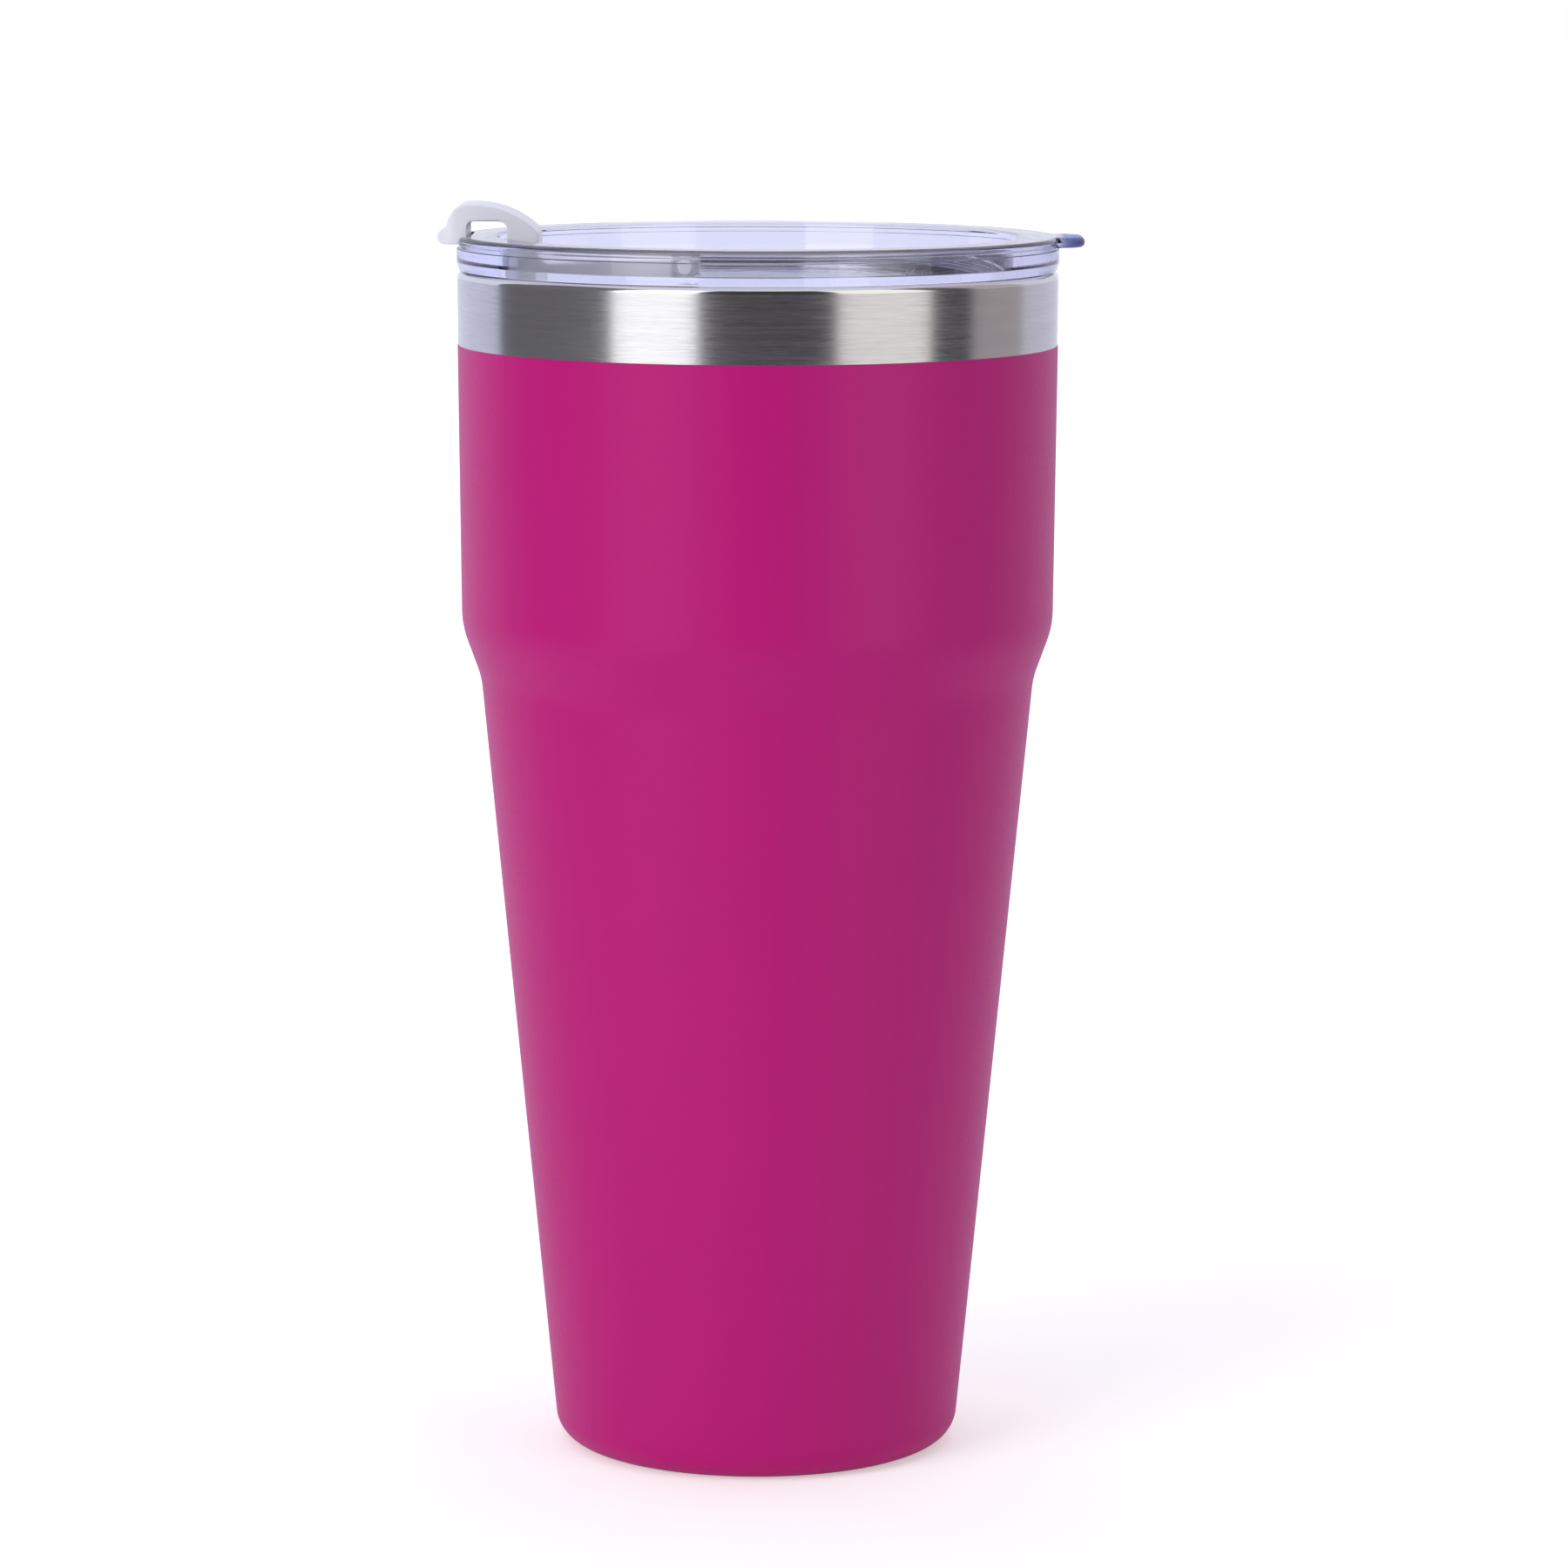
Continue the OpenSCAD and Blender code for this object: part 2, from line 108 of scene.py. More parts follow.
LID_R = node_box("lid_body")[1].y
LID_TOP = node_box("lid_body")[1].z
PLUG_Z = node_box("lid_body")[0].z
PULL_TIP = node_box("lid_body")[1].x
SEAT_Z = CUP_TOP + 0.2
PLUG_R = MOUTH_R - 1
DISH_R = PLUG_R - 3.6
LOW_DISH_R = DISH_R - 0.9
DISH_Z = LID_TOP - 9.2
FLOOR_T = 2.2
GASKET_LOW = node_box("lid_gasket")[0].z
GASKET_TOP = node_box("lid_gasket")[1].z
GASKET_R = node_box("lid_gasket")[1].x
GROOVE_R = PLUG_R - 1.8
CUT_PAST = 1

# ---- Sizes of the flip tab ----

TAB_TIP = node_box("flip_tab")[0].x
TAB_TOP = node_box("flip_tab")[1].z
TAB_W = 16
ARM_W = 10
HINGE_X = frame["joints"][1]["pos_m"][0] / MM
HINGE_Z = frame["joints"][1]["pos_m"][2] / MM
OPEN_ANGLE = 100
BARREL_R = 2.2
TRUNNION_R = 1.25
PIN_L = node_box("flip_tab")[1].y
OUTER_X = -(LID_R + 1.4)
RIM_SIDE_X = OUTER_X + 3.5
HOOK_Z = LID_TOP - 1.3
HOOK_TOP = HOOK_Z + 2.4
CREST_X = 9.1 - LID_R
CREST_ROUND = 14.8
CREST_FALL = 43
ARCH_ROUND = 3.4
TAB_WALL = 1.7
LEG_OUT_X = 0.35 - math.sqrt(LOW_DISH_R ** 2 - TAB_W ** 2 / 4)
LEG_IN_X = LEG_OUT_X + 5.2
HOLE_X = LEG_OUT_X + 4.9
HOLE_W = 5.6
HOLE_L = 11.6
STOPPER_LOW = DISH_Z + 0.2
STOPPER_TOP = DISH_Z + 1.4


# ---- Drawing ----


def unit(angle):
    return Vector((math.cos(math.radians(angle)), math.sin(math.radians(angle))))


def shifted(corner, face_1, face_2, out, radius):
    """The corner between faces that look along two angles, moved outwards and rounded."""
    way = (unit(face_1) + unit(face_2)) / (1 + unit(face_1).dot(unit(face_2)))
    point = Vector(corner[:2]) + out * way
    return point.x, point.y, radius


def start_fresh():
    """Back to object mode with nothing selected."""
    if bpy.context.object and bpy.context.object.mode != "OBJECT":
        bpy.ops.object.mode_set(mode="OBJECT")
    bpy.ops.object.select_all(action="DESELECT")


def take(piece):
    """Selects one piece and makes it the active one."""
    start_fresh()
    piece.select_set(True)
    bpy.context.view_layer.objects.active = piece


def edit(piece, select="SELECT"):
    take(piece)
    bpy.ops.object.mode_set(mode="EDIT")
    bpy.ops.mesh.select_mode(type="VERT")
    bpy.ops.mesh.select_all(action=select)


def start_point(place):
    """A new mesh of one point, left in edit mode."""
    start_fresh()
    bpy.ops.mesh.primitive_plane_add(size=MM)
    bpy.ops.object.mode_set(mode="EDIT")
    bpy.ops.mesh.select_mode(type="VERT")
    bpy.ops.mesh.select_all(action="SELECT")
    bpy.ops.mesh.merge(type="CENTER")
    bpy.ops.transform.translate(value=place)


class Pen:
    """Draws one line in a plane with the extrude and spin tools."""

    def __init__(self, plane, offset, start):
        self.plane = plane
        self.offset = offset
        self.here = Vector(start)
        start_point(self.place(self.here))

    def place(self, point):
        if self.plane == "XZ":
            return Vector((point[0], self.offset, point[1])) * MM
        return Vector((point[0], point[1], self.offset)) * MM

    def line(self, point):
        step = self.place(point) - self.place(self.here)
        if step.length > CLOSE * MM:
            bpy.ops.mesh.extrude_region_move(TRANSFORM_OT_translate={"value": step})
            self.here = Vector(point)

    def arc(self, centre, angle):
        reach = self.here - centre
        length = reach.length * abs(math.radians(angle))
        steps = max(2, math.ceil(abs(angle) / ARC_STEP), math.ceil(length / ARC_LENGTH))
        axis = (0, 1, 0) if self.plane == "XZ" else (0, 0, -1)
        turn = math.radians(angle)
        bpy.ops.mesh.spin(steps=steps, angle=turn, center=self.place(centre), axis=axis)
        self.here = centre + Vector((
            reach.x * math.cos(turn) - reach.y * math.sin(turn),
            reach.x * math.sin(turn) + reach.y * math.cos(turn)))


def rounding(before, corner, after):
    """Start, centre, sweep and end of the arc that rounds a corner."""
    point = Vector(corner[:2])
    back = (Vector(before[:2]) - point).normalized()
    ahead = (Vector(after[:2]) - point).normalized()
    half = back.angle(ahead) / 2
    start = point + back * corner[2] / math.tan(half)
    end = point + ahead * corner[2] / math.tan(half)
    centre = point + (back + ahead).normalized() * corner[2] / math.sin(half)
    spoke_1 = start - centre
    spoke_2 = end - centre
    sweep = math.degrees(math.atan2(
        spoke_1.x * spoke_2.y - spoke_1.y * spoke_2.x, spoke_1.dot(spoke_2)))
    return start, centre, sweep, end, back, ahead


def draw(corners, plane="XZ", offset=0.0, closed=True):
    """Draws an outline. A corner is a point, with a radius behind it where it is round."""
    count = len(corners)
    if closed:
        first = (Vector(corners[-1][:2]) + Vector(corners[0][:2])) / 2
        order = range(count)
    else:
        first = Vector(corners[0][:2])
        order = range(1, count - 1)
    pen = Pen(plane, offset, first)
    for i in order:
        corner = corners[i]
        after = corners[(i + 1) % count]
        if len(corner) == 2:
            pen.line(corner)
            continue
        start, centre, sweep, end, back, ahead = rounding(corners[i - 1], corner, after)
        if (pen.here - start).length > 2 * HOLD:
            pen.line(start + back * HOLD)
        pen.line(start)
        pen.arc(centre, sweep)
        if (Vector(after[:2]) - end).length > 2 * HOLD:
            pen.line(end + ahead * HOLD)
    pen.line(first if closed else corners[-1][:2])
    bpy.ops.mesh.select_all(action="SELECT")
    bpy.ops.mesh.remove_doubles(threshold=MERGE * MM)


def named(name):
    """Leaves edit mode and names what was made."""
    bpy.ops.object.mode_set(mode="OBJECT")
    piece = bpy.context.object
    piece.name = name
    piece.data.name = name
    return piece


def close_up(piece):
    """Merges what touches and turns every face outwards."""
    edit(piece)
    bpy.ops.mesh.remove_doubles(threshold=MERGE * MM)
    bpy.ops.mesh.normals_make_consistent(inside=False)
    bpy.ops.object.mode_set(mode="OBJECT")
    return piece


def turned(name, corners):
    """A turned shape: its outline spun once round the cup's axis."""
    on_axis = corners[0][0] == 0 and corners[-1][0] == 0
    draw(corners, closed=not on_axis)
    bpy.ops.mesh.spin(steps=TURN_STEPS, angle=math.tau, center=(0, 0, 0), axis=(0, 0, 1))
    return close_up(named(name))


def plate(name, corners, plane, low, high):
    """A flat outline pulled up into a plate."""
    draw(corners, plane, low)
    bpy.ops.mesh.edge_face_add()
    depth = (high - low) * MM
    way = (0, depth, 0) if plane == "XZ" else (0, 0, depth)
    bpy.ops.mesh.extrude_region_move(TRANSFORM_OT_translate={"value": way})
    return close_up(named(name))


def round_bar(name, x, z, radius, length):
    """A round bar across the cup. An inset on each end keeps its edge crisp."""
    steps = 48
    start_fresh()
    bpy.ops.mesh.primitive_cylinder_add(
        vertices=steps, radius=radius * MM, depth=length * MM,
        location=(x * MM, 0, z * MM), rotation=(math.pi / 2, 0, 0))
    bpy.ops.object.transform_apply(location=True, rotation=True, scale=True)
    bar = named(name)
    pick(bar, "FACE", lambda points: len(points) == steps)
    bpy.ops.mesh.inset(thickness=HOLD * MM)
    bpy.ops.object.mode_set(mode="OBJECT")
    return bar


def slot_plug(name, x, wide, long, low, high, narrow=0.0):
    """A slot-shaped plug, long across the cup, that may narrow downwards."""
    start_fresh()
    bpy.ops.mesh.primitive_cylinder_add(
        vertices=64, radius=wide / 2 * MM, depth=(high - low) * MM,
        location=(x * MM, 0, (low + high) / 2 * MM))
    bpy.ops.object.transform_apply(location=True, rotation=True, scale=True)
    plug = named(name)
    for side in (-1, 1):
        pick(plug, "VERT", lambda points: points[0].y * side > CLOSE)
        bpy.ops.transform.translate(value=(0, side * (long - wide) / 2 * MM, 0))
        bpy.ops.object.mode_set(mode="OBJECT")
    if narrow:
        pick(plug, "VERT", lambda points: points[0].z < (low + high) / 2)
        bpy.ops.transform.resize(
            value=(1 - 2 * narrow / wide, 1 - 2 * narrow / long, 1),
            center_override=(x * MM, 0, low * MM))
        bpy.ops.object.mode_set(mode="OBJECT")
    return plug


def pick(piece, kind, test):
    """Selects the points, edges or faces whose corners pass a test, and stays in edit mode."""
    edit(piece, "DESELECT")
    bpy.ops.mesh.select_mode(type=kind)
    bpy.ops.mesh.select_all(action="DESELECT")
    bpy.ops.object.mode_set(mode="OBJECT")
    mesh = piece.data
    points = [v.co / MM for v in mesh.vertices]
    if kind == "VERT":
        for vertex in mesh.vertices:
            vertex.select = test([points[vertex.index]])
    else:
        for part in mesh.edges if kind == "EDGE" else mesh.polygons:
            part.select = test([points[i] for i in part.vertices])
    bpy.ops.object.mode_set(mode="EDIT")


def soften(piece, radius, segments, test):
    """Bevels the edges that pass a test."""
    pick(piece, "EDGE", test)
    bpy.ops.mesh.bevel(offset=radius * MM, segments=segments, profile=0.5, affect="EDGES")
    bpy.ops.object.mode_set(mode="OBJECT")


def apply_modifier(piece, kind, **settings):
    take(piece)
    modifier = piece.modifiers.new(kind.lower(), kind)
    for key, value in settings.items():
        setattr(modifier, key, value)
    bpy.ops.object.modifier_apply(modifier=modifier.name)


def combine(piece, other, how):
    """Adds, cuts or keeps a second shape, which is then thrown away."""
    apply_modifier(piece, "BOOLEAN", operation=how, object=other, solver="MANIFOLD")
    bpy.data.meshes.remove(other.data)
    return piece


def finish_piece(piece, material, body, slot, *nodes):
    take(piece)
    bpy.ops.object.shade_smooth_by_angle(angle=math.radians(SMOOTH_ANGLE))
    piece.data.materials.clear()
    piece.data.materials.append(material)
    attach(piece, body)
    if nodes:
        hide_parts(*nodes)
    return piece


# ---- The cup's lines ----


def upper_r(z):
    return RIM_R - (LIP_Z - z) * math.tan(math.radians(UPPER_TAPER))


HIGH_CORNER = (upper_r(SHOULDER_Z), SHOULDER_Z)
LOW_CORNER = (
    HIGH_CORNER[0] - SHOULDER_H * math.tan(math.radians(SHOULDER_TAPER)),
    SHOULDER_Z - SHOULDER_H)


def lower_r(z):
    return LOW_CORNER[0] - (LOW_CORNER[1] - z) * math.tan(math.radians(LOWER_TAPER))


def upper_point(z, out):
    return upper_r(z) + out / math.cos(math.radians(UPPER_TAPER)), z


def lower_point(z, out):
    return lower_r(z) + out / math.cos(math.radians(LOWER_TAPER)), z


def shoulder(out):
    """The two shoulder corners of a skin that lies this far outside the steel."""
    return [
        shifted(LOW_CORNER, -LOWER_TAPER, -SHOULDER_TAPER, out, SHOULDER_ROUND - out),
        shifted(HIGH_CORNER, -SHOULDER_TAPER, -UPPER_TAPER, out, SHOULDER_ROUND + out)]


def liner_wall(out):
    """The liner's corners from its floor to its mouth, on its inner face or its outer one."""
    low = upper_point(NECK_Z, -WALL_IN)
    neck_angle = math.degrees(math.atan2(MOUTH_R - low[0], MOUTH_Z - NECK_Z))
    inside = LINER_FLOOR + SHEET
    return [
        (*lower_point(inside - out, out - WALL_IN), FLOOR_ROUND + out),
        *shoulder(out - WALL_IN),
        shifted(low, -UPPER_TAPER, -neck_angle, out, NECK_ROUND - out),
        shifted((MOUTH_R, MOUTH_Z), -neck_angle, 0, out, NECK_ROUND + out)]


# ---- Cup pieces ----


def make_outer_shell():
    return turned("outer_wall", [
        (RING_R, 0),
        (*lower_point(0, 0), FOOT_ROUND),
        *shoulder(0),
        upper_point(LIP_Z, 0),
        upper_point(LIP_Z, -SHEET),
        *reversed(shoulder(-SHEET)),
        (*lower_point(SHEET, -SHEET), FOOT_ROUND - SHEET),
        (RING_R, SHEET)])


def make_liner():
    lip_round = 0.98 * LIP_T / 2
    floor_in = LINER_FLOOR + SHEET
    return turned("liner", [
        (0, floor_in),
        *liner_wall(0),
        (MOUTH_R, CUP_TOP, lip_round),
        (RIM_R, CUP_TOP, lip_round),
        (RIM_R, LIP_Z),
        (MOUTH_R + SHEET, LIP_Z),
        *reversed(liner_wall(SHEET)),
        (0, LINER_FLOOR)])


def make_coat():
    """The coat, with a soft upper edge where it was masked off."""
    foot = Vector(lower_point(FOOT_ROUND, -FOOT_ROUND))
    edge_round = 0.8 * COAT
    wrap_step = 5

    def foot_arc(radius):
        return [tuple(foot + radius * unit(a)) for a in range(-COAT_WRAP, 1 - wrap_step, wrap_step)]

    return turned("powder_coat_skin", [
        *foot_arc(FOOT_ROUND + COAT),
        *shoulder(COAT),
        (*upper_point(COAT_TOP, COAT), edge_round),
        upper_point(COAT_TOP, 0),
        *reversed(shoulder(0)),
        *reversed(foot_arc(FOOT_ROUND))])


def make_base_plate():
    """The welded plate, with a dimple round the vacuum port."""
    skirt_r = RING_R - PLATE
    dimple_foot_r = 6
    dimple_top_r = 3
    port_r = 0.8
    draw_in = 0.3
    return turned("bottom_plate", [
        (RING_R, WELD_Z),
        (RING_R, PLATE_Z, 2 * PLATE),
        (dimple_foot_r, PLATE_Z, 0.8),
        (dimple_top_r, DIMPLE_Z, 0.8),
        (port_r, DIMPLE_Z),
        (port_r, DIMPLE_Z - PLATE),
        (dimple_top_r - draw_in, DIMPLE_Z - PLATE, 0.6),
        (dimple_foot_r - draw_in, PLATE_Z - PLATE, 1),
        (skirt_r, PLATE_Z - PLATE, PLATE),
        (skirt_r, WELD_Z)])


def make_base_cover():
    """The pressed cover: a shallow pan with its middle set up a little."""
    emboss_r = 0.6 * COVER_R
    emboss_foot_r = emboss_r + 1
    emboss_h = 0.4
    emboss_round = 0.8
    rim_top = COVER_Z + 1.8
    return turned("foot_cover", [
        (0, COVER_Z + emboss_h),
        (emboss_r, COVER_Z + emboss_h, emboss_round),
        (emboss_foot_r, COVER_Z, emboss_round),
        (COVER_R, COVER_Z, 2 * PLATE),
        (COVER_R, rim_top),
        (COVER_R - PLATE, rim_top),
        (COVER_R - PLATE, COVER_Z + PLATE, PLATE),
        (emboss_foot_r, COVER_Z + PLATE, emboss_round),
        (emboss_r, COVER_Z + emboss_h + PLATE, emboss_round),
        (0, COVER_Z + emboss_h + PLATE)])


# ---- Lid pieces ----


def make_lid_ring():
    """The lid's turned shape: dish, flange with its line, plug and the bed of the gasket."""
    line_top = LID_TOP - 1.25
    line_low = LID_TOP - 2
    line_r = LID_R - 0.3
    line_round = 0.08
    band_r = LID_R - 0.1
    band_low = SEAT_Z + 1.4
    seat_r = LID_R - 0.45
    bed_top = GASKET_TOP + 0.1
    bed_low = GASKET_LOW - 0.1
    bed_round = 0.15
    lead_r = PLUG_R - 0.3
    return turned("lid", [
        (0, DISH_Z),
        (LOW_DISH_R, DISH_Z, 1.5),
        (DISH_R, LID_TOP, 0.5),
        (LID_R, LID_TOP, 0.9),
        (LID_R, line_top, line_round),
        (line_r, line_top, line_round),
        (line_r, line_low, line_round),
        (band_r, line_low, line_round),
        (band_r, band_low, 0.6),
        (seat_r, SEAT_Z, 0.2),
        (PLUG_R, SEAT_Z, bed_round),
        (PLUG_R, bed_top, bed_round),
        (GROOVE_R, bed_top, bed_round),
        (GROOVE_R, bed_low, bed_round),
        (lead_r, bed_low, bed_round),
        (lead_r, PLUG_Z, 0.6),
        (DISH_R, PLUG_Z, 0.3),
        (DISH_R, DISH_Z - FLOOR_T, 0.8),
        (0, DISH_Z - FLOOR_T)])


def make_pull_tab():
    """The pull tab: a plan with round corners, its edges rounded over."""
    half = 8
    corner = 5
    thick = 1.7
    edge_round = 0.75
    root_x = PLUG_R + 0.1
    tab = plate("pull_tab", [
        (PLUG_R, -half), (PULL_TIP, -half, corner), (PULL_TIP, half, corner), (PLUG_R, half)],
        "XY", LID_TOP - thick, LID_TOP)

    def level_edge_outside(points):
        level = abs(points[0].z - points[1].z) < CLOSE
        return level and min(p.x for p in points) > root_x and max(p.x for p in points) > LID_R - 1

    soften(tab, edge_round, 4, level_edge_outside)
    return tab


def make_ear(side):
    """One ear: a bar with a square foot that goes into the lid's floor."""
    radius = HINGE_Z - DISH_Z - 0.2
    corner = radius * 0.85
    thick = 2.2
    gap = 0.25
    sink = 0.5
    middle = side * (ARM_W / 2 + gap + thick / 2)
    ear = plate("ear", [
        (HINGE_X - radius, DISH_Z - sink),
        (HINGE_X + radius, DISH_Z - sink),
        (HINGE_X + radius, HINGE_Z + radius, corner),
        (HINGE_X - radius, HINGE_Z + radius, corner)],
        "XZ", middle - thick / 2, middle + thick / 2)

    def face_edge(points):
        flat = abs(points[0].y - points[1].y) < CLOSE
        return flat and min(p.z for p in points) > DISH_Z + 0.3

    soften(ear, 0.12, 2, face_edge)
    return ear


def make_notch():
    """What is cut out of the lid's edge, so that the tab's outer leg has room."""
    gap = 0.6
    corner = 0.5
    far = -2 * LID_R
    half = TAB_W / 2 + gap
    inner = RIM_SIDE_X + gap
    return plate("notch", [
        (far, -half), (inner, -half, corner), (inner, half, corner), (far, half)],
        "XY", HOOK_Z - gap, LID_TOP + 2 * CUT_PAST)


def make_lid():
    vent_x = 27
    vent_w = 2.4
    vent_l = 2.4001
    bore_r = TRUNNION_R + 0.06
    bore_l = 60
    low = DISH_Z - FLOOR_T - CUT_PAST
    high = DISH_Z + CUT_PAST
    lid = make_lid_ring()
    combine(lid, make_pull_tab(), "UNION")
    for side in (-1, 1):
        combine(lid, make_ear(side), "UNION")
    combine(lid, slot_plug("hole", HOLE_X, HOLE_W, HOLE_L, low, high), "DIFFERENCE")
    combine(lid, slot_plug("vent", vent_x, vent_w, vent_l, low, high), "DIFFERENCE")
    combine(lid, round_bar("bore", HINGE_X, HINGE_Z, bore_r, bore_l), "DIFFERENCE")
    combine(lid, make_notch(), "DIFFERENCE")
    return close_up(lid)


def make_gasket():
    """The seal ring, with two fins that lean upwards."""
    core_r = PLUG_R - 0.2
    bed_r = GROOVE_R + 0.05
    fin_t = 0.7
    fin_rise = 0.4
    fin_round = 0.25
    root_round = 0.1
    fin_lows = (GASKET_LOW + 0.3, GASKET_TOP - fin_t - fin_rise - 0.1)
    outline = [(bed_r, GASKET_LOW, root_round), (core_r, GASKET_LOW, 0.15)]
    for low in fin_lows:
        outline += [
            (core_r, low, root_round),
            (GASKET_R, low + fin_rise, fin_round),
            (GASKET_R, low + fin_rise + fin_t, fin_round),
            (core_r, low + fin_t, root_round)]
    outline += [(core_r, GASKET_TOP, 0.04), (bed_r, GASKET_TOP, root_round)]
    return turned("seal_ring", outline)


# ---- Tab pieces ----


def make_tab_side():
    """The tab seen from the side: arm, legs, arch and finger lip."""
    arm_t = 3.2
    arch_t = 2.8
    lean = 0.9
    lip_round = 1.15
    arm_z = HINGE_Z - BARREL_R
    arm_top = arm_z + arm_t
    under = TAB_TOP - arch_t
    fall_z = TAB_TOP - (LEG_IN_X - CREST_X) * math.tan(math.radians(CREST_FALL))
    return plate("tab_side", [
        (HINGE_X, arm_z),
        (HINGE_X, arm_top),
        (LEG_IN_X, arm_top, 2),
        (LEG_IN_X, fall_z, 1.2),
        (CREST_X, TAB_TOP, CREST_ROUND),
        (OUTER_X + lean, TAB_TOP, ARCH_ROUND),
        (OUTER_X, HOOK_TOP, 0.2),
        (TAB_TIP, HOOK_TOP, lip_round),
        (TAB_TIP, HOOK_Z, lip_round),
        (RIM_SIDE_X, HOOK_Z, 0.5),
        (RIM_SIDE_X, under, 1),
        (LEG_OUT_X, under, 1.3),
        (LEG_OUT_X, arm_z, 0.6)],
        "XZ", -TAB_W, TAB_W)


def make_tab_plan():
    """The tab seen from above: wide over the rim, narrow from there to the hinge."""
    tip_round = 3
    neck_x = LEG_IN_X + 2
    neck_l = 8
    right = [
        (TAB_TIP, -TAB_W / 2, tip_round),
        (neck_x, -TAB_W / 2, 2),
        (neck_x + neck_l, -ARM_W / 2, 3),
        (HINGE_X + 2 * BARREL_R, -ARM_W / 2)]
    left = [(p[0], -p[1], *p[2:]) for p in reversed(right)]
    return plate("tab_plan", right + left, "XY", DISH_Z, TAB_TOP + CUT_PAST)


def make_tab_hollow():
    """What is left out inside the arch, so that all of it is one thin wall."""
    low = HINGE_Z - BARREL_R + 4.5
    half = TAB_W / 2 - TAB_WALL
    crest = shifted(
        (CREST_X, TAB_TOP), 90, 90 - CREST_FALL, -TAB_WALL, CREST_ROUND - TAB_WALL)
    in_x = LEG_IN_X - TAB_WALL
    in_top = crest[1] - (in_x - crest[0]) * math.tan(math.radians(CREST_FALL))
    out_x = OUTER_X + TAB_WALL
    middle = (RIM_SIDE_X + LEG_OUT_X) / 2
    return plate("tab_hollow", [
        (out_x + 0.2, HOOK_TOP),
        (middle, HOOK_TOP),
        (middle, low),
        (in_x, low, 0.8),
        (in_x, in_top),
        crest,
        (out_x + 0.5, TAB_TOP - TAB_WALL, ARCH_ROUND - TAB_WALL)],
        "XZ", -half, half)


def make_heel():
    """The cam on the barrel that meets the lid's floor when the tab is fully open."""
    heel_angle = 52
    gap = 0.1
    heel_r = (HINGE_Z - DISH_Z - gap) / math.sin(math.radians(OPEN_ANGLE - heel_angle))
    flank = math.degrees(math.acos(BARREL_R / heel_r))
    hinge = Vector((HINGE_X, HINGE_Z))
    return plate("heel", [
        tuple(hinge),
        tuple(hinge + BARREL_R * unit(heel_angle - flank)),
        tuple(hinge + heel_r * unit(heel_angle)),
        tuple(hinge + BARREL_R * unit(heel_angle + flank))],
        "XZ", -ARM_W / 2, ARM_W / 2)


def make_flip_tab():
    """The tab: cut from its side and plan outlines, hollowed, then moulded soft all over."""
    rim = 2.4
    voxel = 0.25
    tab = make_tab_side()
    combine(tab, make_tab_plan(), "INTERSECT")
    combine(tab, make_tab_hollow(), "DIFFERENCE")
    combine(tab, round_bar("barrel", HINGE_X, HINGE_Z, BARREL_R, ARM_W), "UNION")
    combine(tab, make_heel(), "UNION")
    sink = slot_plug(
        "sink", HOLE_X, HOLE_W + rim, HOLE_L + rim, DISH_Z - CUT_PAST, STOPPER_TOP)
    combine(tab, sink, "DIFFERENCE")
    combine(tab, round_bar("pins", HINGE_X, HINGE_Z, TRUNNION_R, 2 * PIN_L), "UNION")
    close_up(tab)
    apply_modifier(tab, "REMESH", mode="VOXEL", voxel_size=voxel * MM, adaptivity=0)
    apply_modifier(tab, "SMOOTH", factor=0.5, iterations=6)
    tab.name = "tab"
    tab.data.name = "tab"
    return tab


def make_stopper():
    """The stopper: a flange on the lid's floor, and a plug that narrows into the hole."""
    rim = 2.3
    fit = 0.6
    plug_low = DISH_Z - FLOOR_T + 0.5
    plug_high = STOPPER_LOW + 0.3
    stopper = slot_plug("stopper", HOLE_X, HOLE_W + rim, HOLE_L + rim, STOPPER_LOW, STOPPER_TOP)
    soften(stopper, 0.2, 3, lambda points: max(p.z for p in points) < STOPPER_LOW + CLOSE)
    plug = slot_plug(
        "plug", HOLE_X, HOLE_W - fit, HOLE_L - fit, plug_low, plug_high, narrow=0.4)
    soften(plug, 0.3, 3, lambda points: max(p.z for p in points) < plug_low + CLOSE)
    combine(stopper, plug, "UNION")
    return close_up(stopper)


# ---- Node groups that the materials share ----


def new_group(name, inputs, outputs):
    tree = bpy.data.node_groups.new(name, "ShaderNodeTree")
    for label, kind, value in inputs:
        socket = tree.interface.new_socket(label, in_out="INPUT", socket_type=kind)
        if value is not None:
            socket.default_value = value
    for label, kind in outputs:
        tree.interface.new_socket(label, in_out="OUTPUT", socket_type=kind)
    return tree, tree.nodes.new("NodeGroupInput"), tree.nodes.new("NodeGroupOutput")


def noise_node(tree, detail, roughness=0.5, scale=1):
    node = tree.nodes.new("ShaderNodeTexNoise")
    node.inputs["Scale"].default_value = scale
    node.inputs["Detail"].default_value = detail
    node.inputs["Roughness"].default_value = roughness
    return node


def math_node(tree, operation, first, second=None, clamp=False):
    """A Math node. Each value is a number or a socket."""
    node = tree.nodes.new("ShaderNodeMath")
    node.operation = operation
    node.use_clamp = clamp
    for socket, value in zip(node.inputs, (first, second)):
        if isinstance(value, (int, float)):
            socket.default_value = value
        elif value is not None:
            tree.links.new(value, socket)
    return node.outputs[0]


def range_node(tree, value, low, high, to_low, to_high):
    node = tree.nodes.new("ShaderNodeMapRange")
    tree.links.new(value, node.inputs["Value"])
    settings = zip(("From Min", "From Max", "To Min", "To Max"), (low, high, to_low, to_high))
    for label, number in settings:
        node.inputs[label].default_value = number
    return node.outputs["Result"]


